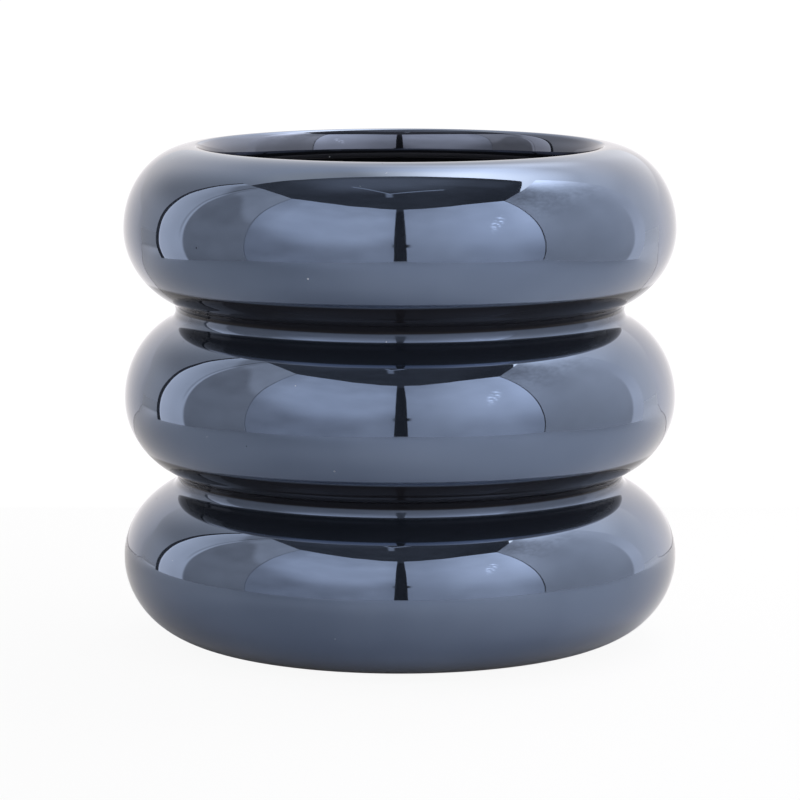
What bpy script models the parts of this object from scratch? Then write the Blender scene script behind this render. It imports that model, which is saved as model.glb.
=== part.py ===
# A round flower pot of glazed stoneware: three fat hollow rings joined one above the other,
# a floor slab with a drain hole and its stopper, and soft pads under the floor.
# Metres, +Z up. The origin is on the pot's axis, in the plane that the pads stand on.

import math

import bpy

SEGMENTS = 60
SMALL_SEGMENTS = 24
GAP = 0.0003
AXIS_MERGE = 0.00005
SHARP_ANGLE = math.radians(40)

# The rings' sections: two half ellipses that meet at the widest line, each given as
# (how far it reaches in from the widest line, how far it rises or falls from it).
WALL = 0.0065
TOP_RING = {"centre": 0.1353, "radius": 0.0900, "above": (0.0231, 0.0268), "below": (0.0294, 0.0268)}
MIDDLE_RING = {"centre": 0.0798, "radius": 0.0900, "above": (0.0261, 0.0284), "below": (0.0261, 0.0255)}
BOTTOM_RING = {"centre": 0.0276, "radius": 0.0906, "above": (0.0284, 0.0258), "below": (0.0284, 0.0268)}
OUTSIDE_STEP = math.radians(12)
INSIDE_STEP = math.radians(20)

# The grooves between the rings have round bottoms, and a bead of slip joins the rings there.
UPPER_GROOVE_FILLET = 0.0038
LOWER_GROOVE_FILLET = 0.0034
NECK_STEP = math.radians(25)
SLIP = 0.0014

# The rim: a rolled lip that drops from the crest to a short upright face.
LIP_REACH = 0.0030
LIP_DROP = 0.0080
LIP_ROUND = 0.0020
LIP_INNER_ANGLE = math.radians(58)
LIP_STEP = math.radians(22.5)
LIP_ROUND_STEP = math.radians(45)

# The foot and the floor.
FOOT_Z = 0.0012
FLOOR_RADIUS = 0.0560
FLOOR_THICKNESS = 0.0050
FLOOR_TOP = BOTTOM_RING["centre"] - BOTTOM_RING["below"][1] + WALL
FLOOR_BOTTOM = FLOOR_TOP - FLOOR_THICKNESS
DRAIN_RADIUS = 0.0080
FLOOR_EDGE = 0.0006

# The stopper in the drain hole.
PLUG_FLANGE_RADIUS = 0.0130
PLUG_FLANGE_THICKNESS = 0.0020
PLUG_SHANK_TOP_RADIUS = 0.0077
PLUG_SHANK_BOTTOM_RADIUS = 0.0072
PLUG_SHANK_LENGTH = 0.0058
PLUG_STEM_RADIUS = 0.0030
PLUG_STEM_LENGTH = 0.0030
PLUG_GRIP_RADIUS = 0.0050
PLUG_GRIP_THICKNESS = 0.0030
PLUG_EDGE = 0.0005

# The pads under the floor.
PAD_COUNT = 4
PAD_RADIUS = 0.0050
PAD_CIRCLE = 0.0460
PAD_EDGE = 0.0005


def clear_scene():
    for old in list(bpy.data.objects):
        bpy.data.objects.remove(old, do_unlink=True)


def make_material(name, colour, roughness, metallic=0.0):
    material = bpy.data.materials.new(name)
    material.use_nodes = True
    shader = material.node_tree.nodes["Principled BSDF"]
    shader.inputs["Base Color"].default_value = (*colour, 1.0)
    shader.inputs["Roughness"].default_value = roughness
    shader.inputs["Metallic"].default_value = metallic
    return material


def bisect(function, low, high):
    """The value between low and high where the function changes sign."""
    sign_low = function(low) > 0
    for _ in range(60):
        middle = (low + high) / 2
        if (function(middle) > 0) == sign_low:
            low = middle
        else:
            high = middle
    return (low + high) / 2


def spread(start, end, step):
    """Evenly spaced values from start to end, at most a step apart."""
    count = max(1, math.ceil(abs(end - start) / step - 1e-6))
    return [start + (end - start) * i / count for i in range(count + 1)]


def wall_slope(ring, angle):
    """How far the wall's outward normal tilts up from level, at an angle of the section."""
    reach, height = ring["above"] if angle > 0 else ring["below"]
    return math.atan2(math.sin(angle) / height, math.cos(angle) / reach)


def wall_point(ring, angle, depth):
    """A point of a ring's wall, at a depth under its glaze. The angle rises from the widest line."""
    reach, height = ring["above"] if angle > 0 else ring["below"]
    radius = ring["radius"] - reach + reach * math.cos(angle)
    z = ring["centre"] + height * math.sin(angle)
    slope = wall_slope(ring, angle)
    return radius - depth * math.cos(slope), z - depth * math.sin(slope)


def find_neck(upper, lower, fillet):
    """The round groove bottom that runs smoothly into the ring above it and the ring below it."""

    def lower_angle(radius):
        return bisect(lambda angle: wall_point(lower, angle, -fillet)[0] - radius, 0.01, math.pi / 2)

    def mismatch(upper_angle):
        radius, z = wall_point(upper, upper_angle, -fillet)
        return z - wall_point(lower, lower_angle(radius), -fillet)[1]

    upper_angle = bisect(mismatch, -math.radians(80), -math.radians(10))
    radius, z = wall_point(upper, upper_angle, -fillet)
    return {
        "radius": radius,
        "z": z,
        "fillet": fillet,
        "upper_angle": upper_angle,
        "lower_angle": lower_angle(radius),
    }


def neck_point(neck, angle, depth):
    """A point of the groove's bottom, at a depth under its glaze. The angle rises from level."""
    reach = neck["fillet"] + depth
    return neck["radius"] - reach * math.cos(angle), neck["z"] + reach * math.sin(angle)


def neck_plane_angle(neck, height, depth):
    """The angle at which the groove's bottom, at a depth, is a height above its middle."""
    return math.asin(height / (neck["fillet"] + depth))


def wall_line(ring, top_angle, bottom_angle, depth, step, neck_above=None, neck_below=None):
    """The wall's line at one depth, from the ring's upper end down to its lower end."""
    points = []
    half_joint = SLIP / 2 + GAP
    if neck_above:
        start = -neck_plane_angle(neck_above, half_joint, depth)
        end = -wall_slope(ring, top_angle)
        points += [neck_point(neck_above, angle, depth) for angle in spread(start, end, NECK_STEP)[:-1]]
    points += [wall_point(ring, angle, depth) for angle in spread(top_angle, bottom_angle, step)]
    if neck_below:
        start = -wall_slope(ring, bottom_angle)
        end = neck_plane_angle(neck_below, half_joint, depth)
        points += [neck_point(neck_below, angle, depth) for angle in spread(start, end, NECK_STEP)[1:]]
    return points


def turn(name, profile, material, segments=SEGMENTS, closed=True, z=0.0):
    """A solid turned about the pot's axis from a profile that runs down its outer side."""
    mesh = bpy.data.meshes.new(name)
    edges = [(i, i + 1) for i in range(len(profile) - 1)]
    if closed:
        edges.append((len(profile) - 1, 0))
    mesh.from_pydata([(radius, 0.0, height) for radius, height in profile], edges, [])
    mesh.materials.append(material)
    obj = bpy.data.objects.new(name, mesh)
    obj.location.z = z
    parts.objects.link(obj)
    screw = obj.modifiers.new("Turn", "SCREW")
    screw.steps = segments
    screw.render_steps = segments
    screw.use_merge_vertices = True
    screw.merge_threshold = AXIS_MERGE
    screw.use_smooth_shade = True
    return obj


def add_bevel(obj, width):
    bevel = obj.modifiers.new("Edges", "BEVEL")
    bevel.width = width
    bevel.segments = 1
    bevel.limit_method = "ANGLE"
    bevel.angle_limit = SHARP_ANGLE


def make_top_ring(neck_below, glaze):
    crest_r, crest_z = wall_point(TOP_RING, math.pi / 2, 0.0)
    low_end = neck_below["upper_angle"]
    outside = wall_line(TOP_RING, math.pi / 2, low_end, 0.0, OUTSIDE_STEP, None, neck_below)
    inside = wall_line(TOP_RING, LIP_INNER_ANGLE, low_end, WALL, INSIDE_STEP, None, neck_below)
    face_bottom = crest_z - LIP_DROP
    under = [
        (
            crest_r - LIP_REACH + LIP_ROUND * (1 - math.cos(angle)),
            face_bottom - LIP_ROUND * math.sin(angle),
        )
        for angle in spread(math.pi / 2, 0.0, LIP_ROUND_STEP)
    ]
    rolled = [
        (crest_r - LIP_REACH * math.cos(angle), face_bottom + LIP_DROP * math.sin(angle))
        for angle in spread(0.0, math.pi / 2, LIP_STEP)[1:-1]
    ]
    turn("top_ring", outside + inside[::-1] + under + rolled, glaze)


def make_middle_ring(neck_above, neck_below, glaze):
    ends = (neck_above["lower_angle"], neck_below["upper_angle"])
    outside = wall_line(MIDDLE_RING, *ends, 0.0, OUTSIDE_STEP, neck_above, neck_below)
    inside = wall_line(MIDDLE_RING, *ends, WALL, INSIDE_STEP, neck_above, neck_below)
    turn("middle_ring", outside + inside[::-1], glaze)


def make_bottom_ring(neck_above, glaze):
    fall = BOTTOM_RING["below"][1]
    foot_angle = -math.asin((BOTTOM_RING["centre"] - FOOT_Z) / fall)
    top_angle = neck_above["lower_angle"]
    outside = wall_line(BOTTOM_RING, top_angle, foot_angle, 0.0, OUTSIDE_STEP, neck_above)
    inside = wall_line(BOTTOM_RING, top_angle, -math.pi / 2, WALL, INSIDE_STEP, neck_above)
    seat = FLOOR_RADIUS + SLIP + 2 * GAP
    foot = [(seat, FOOT_Z), (seat, FLOOR_TOP)]
    turn("bottom_ring", outside + foot + inside[::-1], glaze)


def make_slip_joint(name, neck, slip):
    outer_angle = neck_plane_angle(neck, SLIP / 2, 0.0)
    inner_angle = neck_plane_angle(neck, SLIP / 2, WALL)
    outside = [neck_point(neck, angle, 0.0) for angle in (outer_angle, 0.0, -outer_angle)]
    inside = [neck_point(neck, angle, WALL) for angle in (-inner_angle, 0.0, inner_angle)]
    turn(name, outside + inside, slip)


def make_floor(glaze, slip):
    slab = [
        (FLOOR_RADIUS, FLOOR_TOP),
        (FLOOR_RADIUS, FLOOR_BOTTOM),
        (DRAIN_RADIUS, FLOOR_BOTTOM),
        (DRAIN_RADIUS, FLOOR_TOP),
    ]
    add_bevel(turn("pot_floor", slab, glaze), FLOOR_EDGE)
    inner = FLOOR_RADIUS + GAP
    outer = inner + SLIP
    joint = [(outer, FLOOR_TOP), (outer, FLOOR_BOTTOM), (inner, FLOOR_BOTTOM), (inner, FLOOR_TOP)]
    turn("floor_slip_joint", joint, slip)


def make_drain_plug(rubber):
    flange_top = GAP + PLUG_FLANGE_THICKNESS
    grip_bottom = flange_top + PLUG_STEM_LENGTH
    grip_top = grip_bottom + PLUG_GRIP_THICKNESS
    profile = [
        (0.0, grip_top),
        (PLUG_GRIP_RADIUS, grip_top),
        (PLUG_GRIP_RADIUS, grip_bottom),
        (PLUG_STEM_RADIUS, grip_bottom),
        (PLUG_STEM_RADIUS, flange_top),
        (PLUG_FLANGE_RADIUS, flange_top),
        (PLUG_FLANGE_RADIUS, GAP),
        (PLUG_SHANK_TOP_RADIUS, GAP),
        (PLUG_SHANK_BOTTOM_RADIUS, GAP - PLUG_SHANK_LENGTH),
        (0.0, GAP - PLUG_SHANK_LENGTH),
    ]
    plug = turn("drain_plug", profile, rubber, SMALL_SEGMENTS, closed=False, z=FLOOR_TOP)
    add_bevel(plug, PLUG_EDGE)


def make_foot_pads(rubber):
    height = FLOOR_BOTTOM - GAP
    for i in range(PAD_COUNT):
        angle = 2 * math.pi * (i + 0.5) / PAD_COUNT
        bpy.ops.mesh.primitive_cylinder_add(
            vertices=SMALL_SEGMENTS,
            radius=PAD_RADIUS,
            depth=height,
            location=(PAD_CIRCLE * math.cos(angle), PAD_CIRCLE * math.sin(angle), height / 2),
        )
        pad = bpy.context.object
        pad.name = f"foot_pad_{i + 1}"
        pad.data.name = pad.name
        pad.data.materials.append(rubber)
        for collection in pad.users_collection:
            collection.objects.unlink(pad)
        parts.objects.link(pad)
        pad.data.shade_smooth()
        add_bevel(pad, PAD_EDGE)
        pad.data.set_sharp_from_angle(angle=SHARP_ANGLE)


clear_scene()
parts = bpy.data.collections.new("stacked_ring_flower_pot")
bpy.context.scene.collection.children.link(parts)

blue_black_glaze = make_material("blue_black_glaze", (0.20, 0.26, 0.40), 0.06, metallic=1.0)
glazed_slip = make_material("glazed_slip", (0.14, 0.18, 0.28), 0.10, metallic=1.0)
grey_silicone = make_material("grey_silicone", (0.10, 0.10, 0.11), 0.55)
clear_silicone = make_material("clear_silicone", (0.60, 0.62, 0.63), 0.35)

upper_neck = find_neck(TOP_RING, MIDDLE_RING, UPPER_GROOVE_FILLET)
lower_neck = find_neck(MIDDLE_RING, BOTTOM_RING, LOWER_GROOVE_FILLET)

make_top_ring(upper_neck, blue_black_glaze)
make_middle_ring(upper_neck, lower_neck, blue_black_glaze)
make_bottom_ring(lower_neck, blue_black_glaze)
make_slip_joint("upper_slip_joint", upper_neck, glazed_slip)
make_slip_joint("lower_slip_joint", lower_neck, glazed_slip)
make_floor(blue_black_glaze, glazed_slip)
make_drain_plug(grey_silicone)
make_foot_pads(clear_silicone)
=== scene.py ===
import math

import bpy
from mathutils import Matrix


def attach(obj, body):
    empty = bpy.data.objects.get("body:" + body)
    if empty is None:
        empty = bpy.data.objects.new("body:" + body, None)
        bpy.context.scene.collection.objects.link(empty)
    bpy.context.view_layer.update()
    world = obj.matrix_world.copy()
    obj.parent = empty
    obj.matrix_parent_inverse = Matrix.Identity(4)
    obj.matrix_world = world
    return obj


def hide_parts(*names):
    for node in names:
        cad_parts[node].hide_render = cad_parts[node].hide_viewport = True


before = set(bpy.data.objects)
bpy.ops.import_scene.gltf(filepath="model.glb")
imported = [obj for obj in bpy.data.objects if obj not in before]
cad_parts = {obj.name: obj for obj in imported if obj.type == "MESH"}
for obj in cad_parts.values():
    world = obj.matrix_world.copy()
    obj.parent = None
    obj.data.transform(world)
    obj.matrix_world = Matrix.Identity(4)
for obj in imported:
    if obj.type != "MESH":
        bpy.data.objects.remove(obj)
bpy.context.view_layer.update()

# Metres, +Z up, the pot's axis is Z and the pads stand on z = 0.
# Sections of the rings: two half ellipses that meet at the widest line.
# above and below are (reach inwards, rise or fall) from that line.
ringSection = {
    "wall": 0.0065,
    "joint": 0.0014,  # height of the slip between two rings
    "upperFillet": 0.0038,  # the round bottoms of the two grooves
    "lowerFillet": 0.0034,
    "outsideStep": math.radians(2.0),
    "insideStep": math.radians(5.0),
    "neckStep": math.radians(5.0),
    "spinSteps": 216,
}
topRing = {"centre": 0.1353, "radius": 0.0900, "above": (0.0231, 0.0268), "below": (0.0294, 0.0268)}
middleRing = {"centre": 0.0798, "radius": 0.0900, "above": (0.0261, 0.0284), "below": (0.0261, 0.0255)}
bottomRing = {"centre": 0.0276, "radius": 0.0906, "above": (0.0284, 0.0258), "below": (0.0284, 0.0268)}

turning = {
    "startSize": 0.001,  # the plane that is merged to an outline's first vertex
    "mergeDistance": 0.000001,
    "sharpAngle": math.radians(40),
    "edgeSegments": 3,
    "stepTolerance": 1e-6,
}
# how the round bottom of a groove is found between its two rings
grooveSearch = {
    "halvings": 60,
    "upperAngles": (-math.radians(80), -math.radians(10)),
    "lowerAngles": (0.01, math.pi / 2),
}


def deselectAll():
    if bpy.context.object and bpy.context.object.mode != "OBJECT":
        bpy.ops.object.mode_set(mode="OBJECT")
    bpy.ops.object.select_all(action="DESELECT")


def startChain(name, first):
    # a small plane merged to one vertex, which the outline is then pulled from
    deselectAll()
    bpy.ops.mesh.primitive_plane_add(size=turning["startSize"], location=first)
    piece = bpy.context.object
    piece.name = name
    piece.data.name = name
    bpy.ops.object.transform_apply(location=True, rotation=True, scale=True)
    bpy.ops.object.mode_set(mode="EDIT")
    bpy.ops.mesh.select_mode(type="VERT")
    bpy.ops.mesh.select_all(action="SELECT")
    bpy.ops.mesh.merge(type="CENTER")
    return piece


def pullChain(points):
    for a, b in zip(points, points[1:]):
        move = tuple(q - p for p, q in zip(a, b))
        bpy.ops.mesh.extrude_vertices_move(TRANSFORM_OT_translate={"value": move})


def closeChain(piece):
    # joins the last vertex of a chain to its first
    bpy.ops.object.mode_set(mode="OBJECT")
    for vertex in piece.data.vertices:
        vertex.select = vertex.index in (0, len(piece.data.vertices) - 1)
    bpy.ops.object.mode_set(mode="EDIT")
    bpy.ops.mesh.edge_face_add()


def turnPiece(name, outline, steps, closed=True, axis=(0.0, 0.0)):
    # an outline of (radius, height) points, spun about an upright axis
    points = [(axis[0] + r, axis[1], z) for r, z in outline]
    piece = startChain(name, points[0])
    pullChain(points)
    if closed:
        closeChain(piece)
    bpy.ops.mesh.select_all(action="SELECT")
    bpy.ops.mesh.spin(steps=steps, angle=2 * math.pi, center=(*axis, 0), axis=(0, 0, 1))
    bpy.ops.mesh.select_all(action="SELECT")
    bpy.ops.mesh.remove_doubles(threshold=turning["mergeDistance"])
    bpy.ops.mesh.normals_make_consistent(inside=False)
    bpy.ops.object.mode_set(mode="OBJECT")
    bpy.ops.object.shade_smooth_by_angle(angle=turning["sharpAngle"])
    return piece


def roundEdges(piece, width, angle=turning["sharpAngle"]):
    bevel = piece.modifiers.new("Edges", "BEVEL")
    bevel.width = width
    bevel.segments = turning["edgeSegments"]
    bevel.limit_method = "ANGLE"
    bevel.angle_limit = angle
    bevel.harden_normals = False
    bpy.context.view_layer.objects.active = piece
    bpy.ops.object.modifier_apply(modifier=bevel.name)


def paint(piece, *materials):
    piece.data.materials.clear()
    for material in materials:
        piece.data.materials.append(material)


def paintFaces(piece, materials, pick):
    # pick gives the number of a face's material from its distance from the axis and its height
    paint(piece, *materials)
    for face in piece.data.polygons:
        face.material_index = pick(math.hypot(face.center.x, face.center.y), face.center.z)


def standFor(piece, body, slot, *nodes):
    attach(piece, body)
    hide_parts(*nodes)


def spread(start, end, step):
    count = max(1, math.ceil(abs(end - start) / step - turning["stepTolerance"]))
    return [start + (end - start) * i / count for i in range(count + 1)]


def bisect(function, low, high):
    signLow = function(low) > 0
    for _ in range(grooveSearch["halvings"]):
        middle = (low + high) / 2
        if (function(middle) > 0) == signLow:
            low = middle
        else:
            high = middle
    return (low + high) / 2


def wallSlope(ring, angle):
    reach, height = ring["above"] if angle > 0 else ring["below"]
    return math.atan2(math.sin(angle) / height, math.cos(angle) / reach)


def wallPoint(ring, angle, depth):
    reach, height = ring["above"] if angle > 0 else ring["below"]
    radius = ring["radius"] - reach + reach * math.cos(angle)
    z = ring["centre"] + height * math.sin(angle)
    slope = wallSlope(ring, angle)
    return radius - depth * math.cos(slope), z - depth * math.sin(slope)


def findNeck(upper, lower, fillet):
    # the round groove bottom that runs smoothly into the ring above and the ring below
    def lowerAngle(radius):
        def off(angle):
            return wallPoint(lower, angle, -fillet)[0] - radius

        return bisect(off, *grooveSearch["lowerAngles"])

    def mismatch(upperAngle):
        radius, z = wallPoint(upper, upperAngle, -fillet)
        return z - wallPoint(lower, lowerAngle(radius), -fillet)[1]

    upperAngle = bisect(mismatch, *grooveSearch["upperAngles"])
    radius, z = wallPoint(upper, upperAngle, -fillet)
    return {
        "radius": radius,
        "z": z,
        "fillet": fillet,
        "upperAngle": upperAngle,
        "lowerAngle": lowerAngle(radius),
    }


def neckPoint(neck, angle, depth):
    reach = neck["fillet"] + depth
    return neck["radius"] - reach * math.cos(angle), neck["z"] + reach * math.sin(angle)


def neckPlaneAngle(neck, height, depth):
    return math.asin(height / (neck["fillet"] + depth))


def neckLine(neck, start, end, depth):
    return [neckPoint(neck, angle, depth) for angle in spread(start, end, ringSection["neckStep"])]


def wallLine(ring, topAngle, bottomAngle, depth, step, neckAbove, neckBelow):
    # the wall's line at one depth, from the ring's upper end down to its lower end
    points = []
    half = ringSection["joint"] / 2
    if neckAbove:
        start = -neckPlaneAngle(neckAbove, half, depth)
        points += neckLine(neckAbove, start, -wallSlope(ring, topAngle), depth)[:-1]
    points += [wallPoint(ring, angle, depth) for angle in spread(topAngle, bottomAngle, step)]
    if neckBelow:
        end = neckPlaneAngle(neckBelow, half, depth)
        points += neckLine(neckBelow, -wallSlope(ring, bottomAngle), end, depth)[1:]
    return points


upperNeck = findNeck(topRing, middleRing, ringSection["upperFillet"])
lowerNeck = findNeck(middleRing, bottomRing, ringSection["lowerFillet"])


def feed(tree, socket, value):
    # a socket takes a number, a colour, or what another node puts out
    if isinstance(value, (int, float)):
        socket.default_value = value
    elif isinstance(value, tuple):
        socket.default_value = (*value, 1.0)
    else:
        tree.links.new(value, socket)


def addNode(tree, kind, feeds=None, **settings):
    node = tree.nodes.new("ShaderNode" + kind)
    for name, value in settings.items():
        setattr(node, name, value)
    for socket, value in (feeds or {}).items():
        feed(tree, node.inputs[socket], value)
    return node


def newMaterial(name):
    material = bpy.data.materials.new(name)
    material.use_nodes = True
    return material, material.node_tree


def setShader(tree, feeds):
    shader = tree.nodes["Principled BSDF"]
    for socket, value in feeds.items():
        feed(tree, shader.inputs[socket], value)
    return shader


def newGroup(name, inputs, outputs):
    # inputs are (name, kind, value), outputs are (name, kind)
    tree = bpy.data.node_groups.new(name, "ShaderNodeTree")
    for label, kind, value in inputs:
        socket = tree.interface.new_socket(label, in_out="INPUT", socket_type="NodeSocket" + kind)
        if value is not None:
            socket.default_value = value
    for label, kind in outputs:
        tree.interface.new_socket(label, in_out="OUTPUT", socket_type="NodeSocket" + kind)
    return tree, tree.nodes.new("NodeGroupInput").outputs, tree.nodes.new("NodeGroupOutput").inputs


def mathNode(tree, operation, *values, clamp=False):
    return addNode(tree, "Math", dict(enumerate(values)), operation=operation, use_clamp=clamp).outputs[0]


def add(tree, total, *values):
    for value in values:
        total = mathNode(tree, "ADD", total, value)
    return total


def multiply(tree, product, *values):
    for value in values:
        product = mathNode(tree, "MULTIPLY", product, value)
    return product


def subtract(tree, first, second):
    return mathNode(tree, "SUBTRACT", first, second)


def ramp(tree, value, low, high, toLow=0.0, toHigh=1.0):
    # from toLow where the value is low to toHigh where it is high, with soft ends
    feeds = {"Value": value, "From Min": low, "From Max": high, "To Min": toLow, "To Max": toHigh}
    return addNode(tree, "MapRange", feeds, interpolation_type="SMOOTHSTEP").outputs["Result"]


def band(tree, value, middle, half, soft):
    # 1 within half of the middle, fading to 0 over the soft edge
    distance = mathNode(tree, "ABSOLUTE", subtract(tree, value, middle))
    return ramp(tree, distance, half, half + soft, 1.0, 0.0)


def noise(tree, vector, scale, detail=2.0, roughness=0.5):
    feeds = {"Scale": scale, "Detail": detail, "Roughness": roughness, "Vector": vector}
    return addNode(tree, "TexNoise", feeds).outputs["Fac"]


def unevenness(tree, vector, *look):
    # noise that strays as far below 0 as above it
    return subtract(tree, noise(tree, vector, *look), 0.5)


def cloud(tree, vector, look, edges):
    # noise drawn apart between two edges
    return ramp(tree, noise(tree, vector, *look), *edges)


def mixColour(tree, factor, first, second):
    return addNode(tree, "Mix", {0: factor, 6: first, 7: second}, data_type="RGBA").outputs[2]


def bump(tree, height, strength=1.0, distance=1.0):
    feeds = {"Strength": strength, "Distance": distance, "Height": height}
    return addNode(tree, "Bump", feeds).outputs["Normal"]


def objectPlace(tree):
    return addNode(tree, "TexCoord").outputs["Object"]


def splitPlace(tree, vector):
    return addNode(tree, "SeparateXYZ", {"Vector": vector}).outputs


def specks(tree, vector, look):
    return addNode(tree, "Group", {"Vector": vector, **look}, node_tree=speckGroup).outputs["Mask"]


def makeSpeckGroup():
    # sparse round specks: dust and pin holes, as a mask
    tree, put, out = newGroup(
        "sparseSpecks",
        [
            ("Vector", "Vector", None),
            ("Scale", "Float", 150.0),
            ("Radius", "Float", 0.05),
            ("Rarity", "Float", 0.9),
        ],
        [("Mask", "Float")],
    )
    cells = addNode(tree, "TexVoronoi", {"Vector": put["Vector"], "Scale": put["Scale"]}).outputs
    chance = addNode(tree, "SeparateColor", {"Color": cells["Color"]}).outputs
    chosen = mathNode(tree, "GREATER_THAN", chance["Red"], put["Rarity"])
    size = multiply(tree, put["Radius"], chance["Green"])
    inside = mathNode(tree, "LESS_THAN", cells["Distance"], size)
    feed(tree, out["Mask"], multiply(tree, chosen, inside))
    return tree


# painted shade under the overhangs and in the grooves, in metres above and below the bottom of a groove
paintedGrooveShade = {
    "upperEnd": (0.0096, 0.0107, 1.0, 0.0),
    "lowerEnd": (-0.0024, -0.0007),
    "throat": (0.0003, 0.0009, 0.46, 1.0),  # weaker where the groove is narrowest
    "wander": 0.0007,
    "wanderScale": 15.0,
}


def makeGrooveShadeGroup():
    # painted shade: dark under the overhang above a groove, and in the groove
    tree, put, out = newGroup(
        "paintedShadeInGroove",
        [("Height", "Float", 0.0), ("Groove Height", "Float", 0.1)],
        [("Mask", "Float")],
    )
    above = subtract(tree, put["Height"], put["Groove Height"])
    ends = [ramp(tree, above, *paintedGrooveShade[part]) for part in ("upperEnd", "lowerEnd", "throat")]
    feed(tree, out["Mask"], multiply(tree, *ends))
    return tree


# the skin that every glaze here has; heights in metres
glazeSkin = {
    "driftNoise": (24.0, 3.0),  # slow thick and thin drifts of the colour
    "drift": (0.3, 0.7),
    "lipShadeRadius": (0.0652, 0.0664, 1.0, 0.0),  # painted shade on the mouth's inner face,
    "rimHeight": (0.1568, 0.1612),  # which fades out towards the rim's crest
    "dustAndFloorShade": {"Scale": 250.0, "Radius": 0.085, "Rarity": 0.93},
    "dustShare": 0.5,
    "dustColour": (0.80, 0.82, 0.86),
    "dustHeight": 0.00004,
    "pits": {"Scale": 190.0, "Radius": 0.08, "Rarity": 0.93},
    "pitShare": 0.8,
    "pitColour": (0.02, 0.025, 0.04),
    "pitDepth": 0.00008,
    "markRoughness": 0.4,
    "smearNoise": (60.0, 4.0, 0.6),
    "smear": (0.45, 0.75, 0.0, 0.025),
    "rippleScale": 34.0,  # a soft ripple of hundredths of a millimetre
    "rippleHeight": 0.00010,
    "peelNoise": (420.0, 1.0),  # and a much finer orange peel
    "peelHeight": 0.0000015,
    "lines": {"Scale": 58.0, "Distortion": 0.6, "Detail": 1.0},  # that the fingers leave in throwing
}


def makeGlazeGroup():
    # a fired glaze: thick and thin drifts, painted shade in the grooves and on the mouth's inner face, a
    # soft ripple, pin holes and dust
    tree, put, out = newGroup(
        "firedGlaze",
        [
            ("Vector", "Vector", None),
            ("Thick Color", "Color", (0.18, 0.24, 0.38, 1.0)),
            ("Thin Color", "Color", (0.22, 0.28, 0.42, 1.0)),
            ("Groove Shade Color", "Color", (0.05, 0.05, 0.05, 1.0)),
            ("Lip Shade Color", "Color", (0.09, 0.10, 0.14, 1.0)),
            ("Rim Color", "Color", (0.16, 0.18, 0.24, 1.0)),
            ("Gloss Roughness", "Float", 0.03),
            ("Ripple", "Float", 1.0),
            ("Throwing Lines", "Float", 0.0),
            ("Mirror Share", "Float", 1.0),
        ],
        [("Color", "Color"), ("Roughness", "Float"), ("Mirror", "Float"), ("Normal", "Vector")],
    )
    skin = glazeSkin
    vector = put["Vector"]
    x, y, z = splitPlace(tree, vector)
    drift = cloud(tree, vector, skin["driftNoise"], skin["drift"])
    colour = mixColour(tree, drift, put["Thick Color"], put["Thin Color"])

    radius = mathNode(tree, "SQRT", add(tree, multiply(tree, x, x), multiply(tree, y, y)))
    # painted shade on the mouth's inner face, fading to the rim's colour near the crest
    lipShadeMask = ramp(tree, radius, *skin["lipShadeRadius"])
    lipShadeColour = mixColour(tree, ramp(tree, z, *skin["rimHeight"]), put["Lip Shade Color"], put["Rim Color"])
    colour = mixColour(tree, lipShadeMask, colour, lipShadeColour)

    # the edges of the painted shade wander a little
    wander = unevenness(tree, vector, paintedGrooveShade["wanderScale"])
    grooveShadeHeight = add(tree, z, multiply(tree, wander, paintedGrooveShade["wander"]))
    grooveShades = [
        addNode(tree, "Group", {"Height": grooveShadeHeight, "Groove Height": neck["z"]}, node_tree=grooveShadeGroup)
        for neck in (upperNeck, lowerNeck)
    ]
    grooveShaded = mathNode(tree, "MAXIMUM", *[grooveShade.outputs["Mask"] for grooveShade in grooveShades])
    # the grooves' painted shade: a dark colour with no mirror
    colour = mixColour(tree, grooveShaded, colour, put["Groove Shade Color"])
    feed(tree, out["Mirror"], multiply(tree, subtract(tree, 1.0, grooveShaded), put["Mirror Share"]))

    dustAndFloorShade = specks(tree, vector, skin["dustAndFloorShade"])
    pits = specks(tree, vector, skin["pits"])
    colour = mixColour(tree, multiply(tree, dustAndFloorShade, skin["dustShare"]), colour, skin["dustColour"])
    colour = mixColour(tree, multiply(tree, pits, skin["pitShare"]), colour, skin["pitColour"])
    feed(tree, out["Color"], colour)

    marks = mathNode(tree, "ADD", dustAndFloorShade, pits, clamp=True)
    smear = cloud(tree, vector, skin["smearNoise"], skin["smear"])
    rough = add(tree, put["Gloss Roughness"], smear)
    rough = mathNode(tree, "ADD", rough, multiply(tree, marks, skin["markRoughness"]), clamp=True)
    feed(tree, out["Roughness"], rough)

    ripple = multiply(tree, noise(tree, vector, skin["rippleScale"]), skin["rippleHeight"])
    peel = multiply(tree, noise(tree, vector, *skin["peelNoise"]), skin["peelHeight"])
    height = multiply(tree, add(tree, ripple, peel), put["Ripple"])
    wave = addNode(tree, "TexWave", {**skin["lines"], "Vector": vector}, bands_direction="Z")
    height = add(tree, height, multiply(tree, wave.outputs["Fac"], put["Throwing Lines"]))
    height = subtract(tree, height, multiply(tree, pits, skin["pitDepth"]))
    height = add(tree, height, multiply(tree, dustAndFloorShade, skin["dustHeight"]))
    feed(tree, out["Normal"], bump(tree, height))
    return tree


outsideGlaze = {
    "thick": (0.136, 0.172, 0.241),
    "thin": (0.157, 0.196, 0.269),
    # the colour of the painted shade in the grooves
    "grooveShade": (0.0105, 0.0105, 0.0130),
    # the painted shade on the mouth's inner face, and the colour it fades to at the crest
    "lip": (0.093, 0.103, 0.129),
    "rim": (0.165, 0.185, 0.235),
    "edgeTint": (1.0, 0.96, 0.91),
    "mirror": 0.95,  # the rest is a faint haze, which keeps the grooves from going black
    "gloss": 0.09,
    "roughness": 0.025,
    "ripple": 1.0,
    "throwingLines": 0.0,
}
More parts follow.
